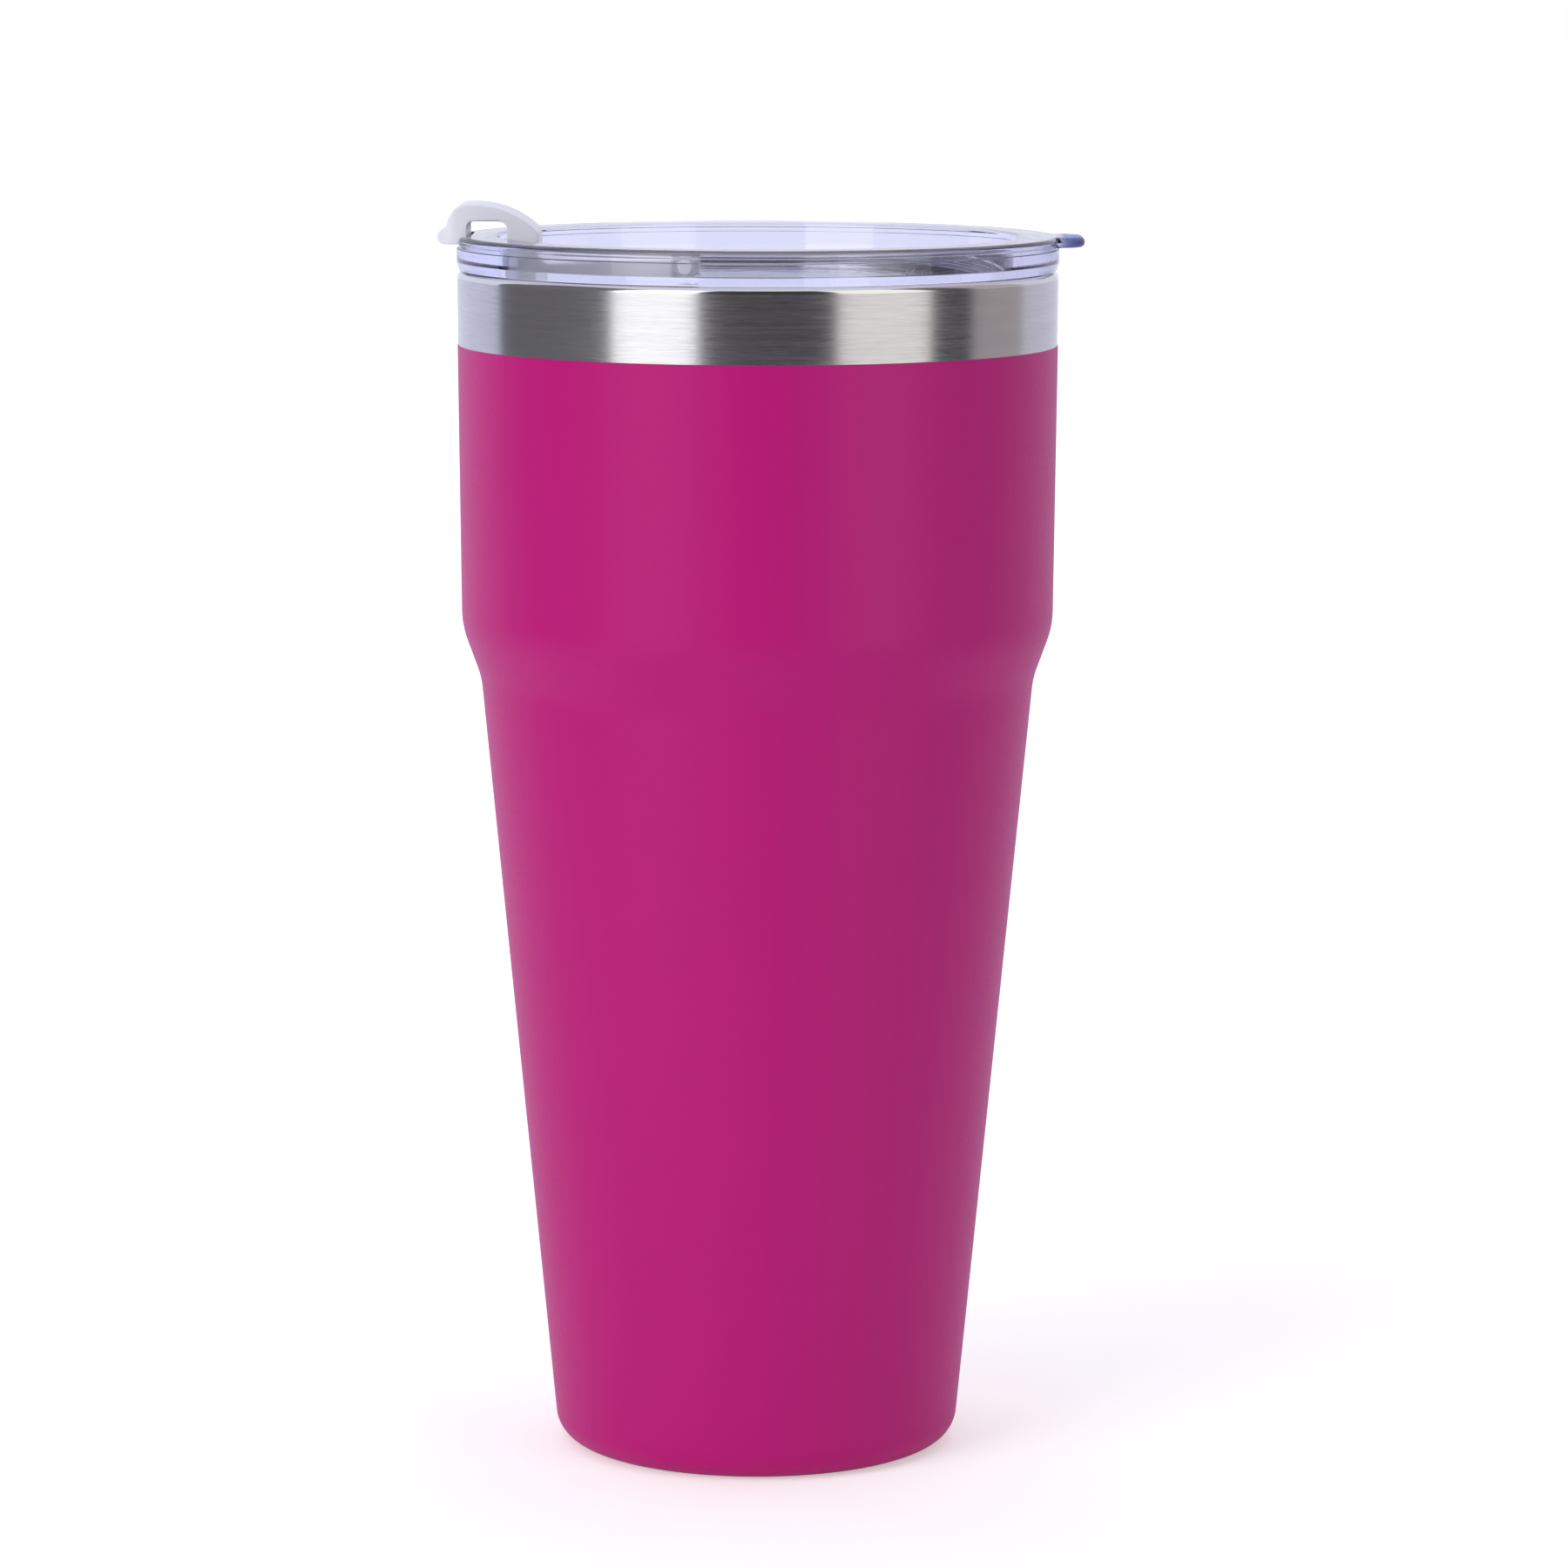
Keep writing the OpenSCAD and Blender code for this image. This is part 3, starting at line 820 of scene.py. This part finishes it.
def scaled_vector(tree, vector, scale):
    """The vector times three numbers, or times a socket."""
    node = tree.nodes.new("ShaderNodeVectorMath")
    node.operation = "MULTIPLY"
    tree.links.new(vector, node.inputs[0])
    if isinstance(scale, tuple):
        node.inputs[1].default_value = scale
    else:
        tree.links.new(scale, node.inputs[1])
    return node.outputs[0]


def grain_group():
    """Fine grain of a given size, with slow patches over it. Sizes are in metres."""
    tree, given, result = new_group(
        "grain",
        [("Vector", "NodeSocketVector", None), ("Size", "NodeSocketFloat", 0.0005)],
        [("Height", "NodeSocketFloat"), ("Patches", "NodeSocketFloat")])
    slow_scale = 45
    fine = noise_node(tree, 3, 0.6)
    tree.links.new(given.outputs["Vector"], fine.inputs["Vector"])
    tree.links.new(math_node(tree, "DIVIDE", 1, given.outputs["Size"]), fine.inputs["Scale"])
    tree.links.new(fine.outputs["Fac"], result.inputs["Height"])
    slow = noise_node(tree, 2, scale=slow_scale)
    tree.links.new(given.outputs["Vector"], slow.inputs["Vector"])
    tree.links.new(slow.outputs["Fac"], result.inputs["Patches"])
    return tree


def brushing_group():
    """Fine lines that run round the cup's axis, as a belt leaves them on a turning wall."""
    tree, given, result = new_group(
        "brushing",
        [("Vector", "NodeSocketVector", None), ("Pitch", "NodeSocketFloat", 0.0002)],
        [("Height", "NodeSocketFloat"), ("Streaks", "NodeSocketFloat")])
    layers = ((0.02, 0.55), (0.08, 0.45))
    streaks = (30, 30, 700)
    lines = math_node(tree, "DIVIDE", 1, given.outputs["Pitch"])
    total = None
    for around, share in layers:
        stretch = tree.nodes.new("ShaderNodeCombineXYZ")
        slow = math_node(tree, "MULTIPLY", lines, around)
        tree.links.new(slow, stretch.inputs["X"])
        tree.links.new(slow, stretch.inputs["Y"])
        tree.links.new(lines, stretch.inputs["Z"])
        noise = noise_node(tree, 2, 0.6)
        vector = scaled_vector(tree, given.outputs["Vector"], stretch.outputs[0])
        tree.links.new(vector, noise.inputs["Vector"])
        part = math_node(tree, "MULTIPLY", noise.outputs["Fac"], share)
        total = part if total is None else math_node(tree, "ADD", total, part)
    tree.links.new(total, result.inputs["Height"])
    wide = noise_node(tree, 1)
    vector = scaled_vector(tree, given.outputs["Vector"], streaks)
    tree.links.new(vector, wide.inputs["Vector"])
    tree.links.new(wide.outputs["Fac"], result.inputs["Streaks"])
    return tree


def scuff_group():
    """A few hair-thin scuffs, as handling leaves them. Zero almost everywhere."""
    tree, given, result = new_group(
        "scuffs",
        [("Vector", "NodeSocketVector", None), ("Amount", "NodeSocketFloat", 0.5)],
        [("Mask", "NodeSocketFloat")])
    layers = ((0.6, (1400, 60, 60)), (-0.9, (60, 1700, 60)), (2.1, (60, 60, 1500)))
    total = None
    for turn, stretch in layers:
        spun = tree.nodes.new("ShaderNodeVectorRotate")
        spun.rotation_type = "EULER_XYZ"
        spun.inputs["Rotation"].default_value = (turn, turn * 0.7, turn * 1.3)
        tree.links.new(given.outputs["Vector"], spun.inputs["Vector"])
        noise = noise_node(tree, 0)
        vector = scaled_vector(tree, spun.outputs[0], stretch)
        tree.links.new(vector, noise.inputs["Vector"])
        part = range_node(tree, noise.outputs["Fac"], 0.76, 0.8, 0, 1)
        total = part if total is None else math_node(tree, "MAXIMUM", total, part)
    kept = math_node(tree, "MULTIPLY", total, given.outputs["Amount"], clamp=True)
    tree.links.new(kept, result.inputs["Mask"])
    return tree


GRAIN = grain_group()
BRUSHING = brushing_group()
SCUFFS = scuff_group()


# ---- Materials ----


class Finish:
    """A material with its shader, and short ways to add what drives it."""

    def __init__(self, name, colour, roughness, **settings):
        self.material = bpy.data.materials.new(name)
        self.material.use_nodes = True
        self.tree = self.material.node_tree
        self.tree.nodes.clear()
        self.output = self.tree.nodes.new("ShaderNodeOutputMaterial")
        self.shader = self.tree.nodes.new("ShaderNodeBsdfPrincipled")
        self.tree.links.new(self.shader.outputs["BSDF"], self.output.inputs["Surface"])
        self.shader.inputs["Base Color"].default_value = (*colour, 1)
        self.shader.inputs["Roughness"].default_value = roughness
        for label, value in settings.items():
            self.shader.inputs[label.replace("_", " ")].default_value = value
        self.where = self.tree.nodes.new("ShaderNodeTexCoord").outputs["Object"]

    def group(self, tree, **values):
        node = self.tree.nodes.new("ShaderNodeGroup")
        node.node_tree = tree
        self.tree.links.new(self.where, node.inputs["Vector"])
        for label, value in values.items():
            node.inputs[label].default_value = value
        return node.outputs

    def noise(self, scale, detail=2):
        node = noise_node(self.tree, detail, scale=scale)
        self.tree.links.new(self.where, node.inputs["Vector"])
        return node.outputs["Fac"]

    def spread(self, socket, given, wanted):
        """Maps a socket's values from one range to another."""
        return range_node(self.tree, socket, *given, *wanted)

    def beyond(self, axis, place, blur):
        """0 before a place along an axis and 1 beyond it, in millimetres."""
        apart = self.tree.nodes.new("ShaderNodeSeparateXYZ")
        self.tree.links.new(self.where, apart.inputs[0])
        edge = ((place - blur) * MM, (place + blur) * MM)
        return self.spread(apart.outputs[axis], edge, (0, 1))

    def tint(self, mask, other):
        """Mixes the base colour towards another colour by a mask."""
        mix = self.tree.nodes.new("ShaderNodeMix")
        mix.data_type = "RGBA"
        self.tree.links.new(mask, mix.inputs["Factor"])
        base = self.shader.inputs["Base Color"]
        if base.is_linked:
            self.tree.links.new(base.links[0].from_socket, mix.inputs["A"])
        else:
            mix.inputs["A"].default_value = base.default_value
        mix.inputs["B"].default_value = (*other, 1)
        self.tree.links.new(mix.outputs["Result"], base)

    def rough(self, socket):
        self.tree.links.new(socket, self.shader.inputs["Roughness"])

    def bump(self, socket, strength, depth):
        """Adds a bump of the given depth in millimetres, on top of any that is there."""
        node = self.tree.nodes.new("ShaderNodeBump")
        node.inputs["Strength"].default_value = strength
        node.inputs["Distance"].default_value = depth * MM
        self.tree.links.new(socket, node.inputs["Height"])
        normal = self.shader.inputs["Normal"]
        if normal.is_linked:
            self.tree.links.new(normal.links[0].from_socket, node.inputs["Normal"])
        self.tree.links.new(node.outputs["Normal"], normal)

    def absorb(self, colour, density):
        node = self.tree.nodes.new("ShaderNodeVolumeAbsorption")
        node.inputs["Color"].default_value = (*colour, 1)
        node.inputs["Density"].default_value = density
        self.tree.links.new(node.outputs["Volume"], self.output.inputs["Volume"])


def powder_coat():
    """Satin powder coat: a fine pebbled skin with a soft sheen."""
    coat = Finish("satin_powder_coat", (0.57, 0.001, 0.192), 0.47, Specular_IOR_Level=0.3,
                  Sheen_Weight=0.1, Sheen_Roughness=0.35, Sheen_Tint=(0.75, 0.65, 1, 1))
    grain = coat.group(GRAIN, Size=0.00055)
    coat.tint(coat.spread(grain["Patches"], (0.3, 0.7), (0, 0.12)), (0.51, 0.001, 0.17))
    coat.tint(coat.spread(grain["Height"], (0.6, 0.8), (0, 0.25)), (0.64, 0.004, 0.24))
    coat.rough(coat.spread(grain["Height"], (0.25, 0.75), (0.52, 0.42)))
    coat.bump(grain["Height"], 0.35, 0.03)
    coat.bump(coat.noise(420), 0.25, 0.05)
    return coat.material


def brushed_steel():
    """The bare band: belt lines that run round it and stretch what it reflects."""
    steel = Finish("brushed_steel", (0.57, 0.56, 0.565), 0.27, Metallic=1,
                   Anisotropic=0.5, Anisotropic_Rotation=0.25)
    tangent = steel.tree.nodes.new("ShaderNodeTangent")
    tangent.direction_type = "RADIAL"
    tangent.axis = "Z"
    steel.tree.links.new(tangent.outputs[0], steel.shader.inputs["Tangent"])
    lines = steel.group(BRUSHING, Pitch=0.00022)
    steel.tint(steel.spread(lines["Streaks"], (0.35, 0.7), (0, 0.35)), (0.5, 0.49, 0.5))
    steel.tint(steel.spread(lines["Height"], (0.4, 0.65), (0, 0.3)), (0.42, 0.41, 0.42))
    steel.rough(steel.spread(lines["Height"], (0.3, 0.7), (0.17, 0.27)))
    steel.bump(lines["Height"], 0.25, 0.006)
    return steel.material


def liner_steel():
    """The liner: turned finish inside, polished bright on the lip."""
    steel = Finish("liner_steel", (0.74, 0.735, 0.73), 0.3, Metallic=1)
    lines = steel.group(BRUSHING, Pitch=0.0006)
    lip = steel.beyond("Z", LIP_Z - 1.5, 0.4)
    inside = steel.spread(lines["Height"], (0.3, 0.7), (0.28, 0.4))
    polish = math_node(steel.tree, "MULTIPLY", lip, 0.2)
    steel.rough(math_node(steel.tree, "SUBTRACT", inside, polish))
    steel.tint(lip, (0.72, 0.715, 0.71))
    steel.bump(lines["Height"], 0.2, 0.01)
    return steel.material


def pressed_steel():
    """Bottom sheet steel: mill finish with a little grain."""
    steel = Finish("pressed_steel", (0.58, 0.575, 0.57), 0.32, Metallic=1)
    grain = steel.group(GRAIN, Size=0.0012)
    scuffs = steel.group(SCUFFS, Amount=0.6)["Mask"]
    steel.rough(steel.spread(grain["Height"], (0.3, 0.7), (0.26, 0.4)))
    steel.tint(scuffs, (0.7, 0.7, 0.7))
    steel.bump(grain["Height"], 0.2, 0.02)
    return steel.material


def clear_plastic():
    """Clear moulded plastic with a blue cast, which is strong and hazy in the pull tab."""
    plastic = Finish("clear_moulded_plastic", (1, 1, 1), 0.02, IOR=1.5, Transmission_Weight=1)
    scuffs = plastic.group(SCUFFS, Amount=1)["Mask"]
    pull = plastic.beyond("X", LID_R, 0.8)
    marks = plastic.spread(scuffs, (0, 1), (0.015, 0.12))
    pull_rough = math_node(plastic.tree, "MULTIPLY", pull, 0.4)
    plastic.rough(math_node(plastic.tree, "MAXIMUM", marks, pull_rough))
    plastic.tint(pull, (0.36, 0.47, 1))
    plastic.bump(plastic.noise(160, 1), 0.15, 0.05)
    plastic.absorb((0.46, 0.49, 0.97), 26)
    return plastic.material


def frosted_plastic():
    # The faint blue-white emission is painted light: a glow that stands in for light passing through
    # the frosted tab.
    plastic = Finish("frosted_plastic", (0.97, 0.975, 1), 0.36, IOR=1.49, Transmission_Weight=0.15,
                     Emission_Color=(0.8, 0.83, 1, 1), Emission_Strength=0.05)
    grain = plastic.group(GRAIN, Size=0.0005)
    plastic.rough(plastic.spread(grain["Height"], (0.3, 0.7), (0.3, 0.44)))
    plastic.tint(plastic.spread(grain["Patches"], (0.3, 0.7), (0, 0.3)), (0.93, 0.94, 0.99))
    plastic.bump(grain["Height"], 0.3, 0.02)
    return plastic.material


def silicone():
    rubber = Finish("clear_silicone", (0.88, 0.89, 0.92), 0.38, IOR=1.41, Transmission_Weight=0.5)
    grain = rubber.group(GRAIN, Size=0.0008)
    rubber.rough(rubber.spread(grain["Height"], (0.3, 0.7), (0.32, 0.46)))
    rubber.tint(rubber.spread(grain["Patches"], (0.35, 0.65), (0, 0.3)), (0.8, 0.81, 0.84))
    rubber.bump(grain["Height"], 0.2, 0.02)
    return rubber.material


def seal_glass():
    glass = Finish("fused_seal_glass", (0.04, 0.055, 0.05), 0.12)
    glass.tint(glass.spread(glass.noise(1500), (0.4, 0.6), (0, 0.5)), (0.09, 0.11, 0.1))
    glass.rough(glass.spread(glass.noise(900), (0.3, 0.7), (0.06, 0.22)))
    glass.bump(glass.noise(1100), 0.3, 0.05)
    return glass.material


def sintered_metal():
    pellet = Finish("sintered_getter", (0.13, 0.13, 0.14), 0.7, Metallic=0.7)
    grain = pellet.group(GRAIN, Size=0.0002)
    pellet.rough(pellet.spread(grain["Height"], (0.3, 0.7), (0.6, 0.85)))
    pellet.tint(pellet.spread(grain["Height"], (0.5, 0.7), (0, 0.6)), (0.24, 0.24, 0.25))
    pellet.bump(grain["Height"], 0.6, 0.05)
    return pellet.material


# ---- Studio, in metres ----

CAMERA_PLACE = (0.0042, -0.9988, 0.2557)
CAMERA_TURN = (81.8, -0.12, 0)
CAMERA_LENS = 137.8
CAMERA_SENSOR = 36
LAMP_PLACE = (-1.15, -0.95, 0.75)
LAMP_TURN = (66, 0, -50.4)
LAMP_SIZE = 1.2
LAMP_POWER = 5.5
FLOOR_R = 12
CARD_DISTANCE = 0.78
CARD_HEIGHT = 1.3
CARD_STEPS = 12

# Each card has its name, the angles where it starts and ends, its colour, its strength, and
# whether it lights the cup as well as being reflected in it.
CARDS = (
    ("left_back", -160, -113, (0.78, 0.8, 1), 1.05, True),
    ("left_flag", -113, -55, (0.95, 0.93, 1), 0.18, True),
    ("left_softbox", -55, -22, (0.97, 0.975, 1), 1.9, True),
    ("front_flag", -22, 29.5, (1, 0.9, 0.95), 0.06, True),
    ("right_softbox", 29.5, 67, (1, 0.975, 0.95), 1.25, False),
    ("right_flag", 67, 87, (1, 0.97, 1), 0.08, True),
    ("right_wall", 87, 118, (1, 0.92, 0.95), 0.5, True),
    ("right_back", 118, 160, (0.86, 0.85, 1), 0.88, True))


def radians(angles):
    return [math.radians(angle) for angle in angles]


def glow(name, colour, strength):
    material = bpy.data.materials.new(name)
    material.use_nodes = True
    tree = material.node_tree
    tree.nodes.clear()
    light = tree.nodes.new("ShaderNodeEmission")
    light.inputs["Color"].default_value = (*colour, 1)
    light.inputs["Strength"].default_value = strength
    output = tree.nodes.new("ShaderNodeOutputMaterial")
    tree.links.new(light.outputs[0], output.inputs["Surface"])
    return material


def make_card(name, start, end, colour, strength, lights):
    """A curved card that stands round the cup between two angles from the camera's side."""
    turn = math.radians(start)
    start_point(Vector((math.sin(turn), -math.cos(turn), 0)) * CARD_DISTANCE)
    bpy.ops.mesh.extrude_region_move(TRANSFORM_OT_translate={"value": (0, 0, CARD_HEIGHT)})
    bpy.ops.mesh.select_all(action="SELECT")
    bpy.ops.mesh.spin(
        steps=CARD_STEPS, angle=math.radians(end - start), center=(0, 0, 0), axis=(0, 0, -1))
    card = named(name)
    card.data.materials.append(glow(name, colour, strength))
    card.visible_camera = False
    card.visible_diffuse = lights
    card.visible_shadow = False


def make_lamp():
    """A soft lamp from the left that shapes the cup. Its own reflection is kept out of the steel."""
    start_fresh()
    bpy.ops.object.light_add(
        type="AREA", radius=LAMP_SIZE / 2, location=LAMP_PLACE, rotation=radians(LAMP_TURN))
    lamp = bpy.context.object
    lamp.name = "left_lamp"
    lamp.data.shape = "DISK"
    lamp.data.size = LAMP_SIZE
    lamp.data.energy = LAMP_POWER
    lamp.data.color = (0.96, 0.95, 1)
    lamp.visible_glossy = False
    lamp.visible_transmission = False


def make_floor():
    """White paper that is brighter to the camera than in what the cup reflects."""
    start_fresh()
    bpy.ops.mesh.primitive_circle_add(vertices=96, radius=FLOOR_R, fill_type="NGON")
    floor = bpy.context.object
    floor.name = "floor"
    paper = Finish("floor_paper", (0.8, 0.81, 0.9), 0.8, Specular_IOR_Level=0.05)
    seen = paper.tree.nodes.new("ShaderNodeLightPath").outputs["Is Camera Ray"]
    paper.tint(seen, (0.9, 0.9, 0.88))
    paper.shader.inputs["Emission Color"].default_value = (1, 1, 0.97, 1)
    shine = paper.spread(seen, (0, 1), (0.14, 0.42))
    paper.tree.links.new(shine, paper.shader.inputs["Emission Strength"])
    floor.data.materials.append(paper.material)


def make_sky():
    """Even light all round: white to the camera, slightly blue where it lights the cup."""
    world = bpy.data.worlds.new("studio")
    bpy.context.scene.world = world
    world.use_nodes = True
    tree = world.node_tree
    tree.nodes.clear()
    path = tree.nodes.new("ShaderNodeLightPath")
    mix = tree.nodes.new("ShaderNodeMix")
    mix.data_type = "RGBA"
    mix.inputs["A"].default_value = (0.87, 0.88, 0.99, 1)
    mix.inputs["B"].default_value = (1, 1, 1, 1)
    light = tree.nodes.new("ShaderNodeBackground")
    output = tree.nodes.new("ShaderNodeOutputWorld")
    tree.links.new(path.outputs["Is Camera Ray"], mix.inputs["Factor"])
    tree.links.new(mix.outputs["Result"], light.inputs["Color"])
    tree.links.new(light.outputs[0], output.inputs["Surface"])


def make_camera():
    start_fresh()
    bpy.ops.object.camera_add(location=CAMERA_PLACE, rotation=radians(CAMERA_TURN))
    camera = bpy.context.object
    camera.data.lens = CAMERA_LENS
    camera.data.sensor_width = CAMERA_SENSOR
    bpy.context.scene.camera = camera
    bpy.context.scene.view_settings.view_transform = "Standard"


# ---- The tumbler ----

make_camera()
make_floor()
for card in CARDS:
    make_card(*card)
make_lamp()
make_sky()

steel = brushed_steel()
bright_steel = liner_steel()
bottom_steel = pressed_steel()
rubber = silicone()

finish_piece(make_outer_shell(), steel, "cup", "steel", "outer_shell")
finish_piece(make_liner(), bright_steel, "cup", "liner_steel", "inner_liner")
finish_piece(make_coat(), powder_coat(), "cup", "powder_coat", "powder_coat")
finish_piece(make_base_plate(), bottom_steel, "cup", "steel", "base_plate")
finish_piece(make_base_cover(), bottom_steel, "cup", "steel", "base_cover")
finish_piece(make_lid(), clear_plastic(), "lid", "clear_plastic", "lid_body")
finish_piece(make_gasket(), rubber, "lid", "silicone", "lid_gasket")
finish_piece(make_flip_tab(), frosted_plastic(), "tab", "frosted_plastic", "flip_tab")
finish_piece(make_stopper(), rubber, "tab", "silicone", "tab_stopper")

# The small pieces between the walls keep their exact shapes and only get their materials.
small_pieces = {
    "vacuum_seal": seal_glass(),
    "getter": sintered_metal(),
    "getter_holder": bottom_steel}
for node, material in small_pieces.items():
    frame["nodes"][node].data.materials.clear()
    frame["nodes"][node].data.materials.append(material)

start_fresh()
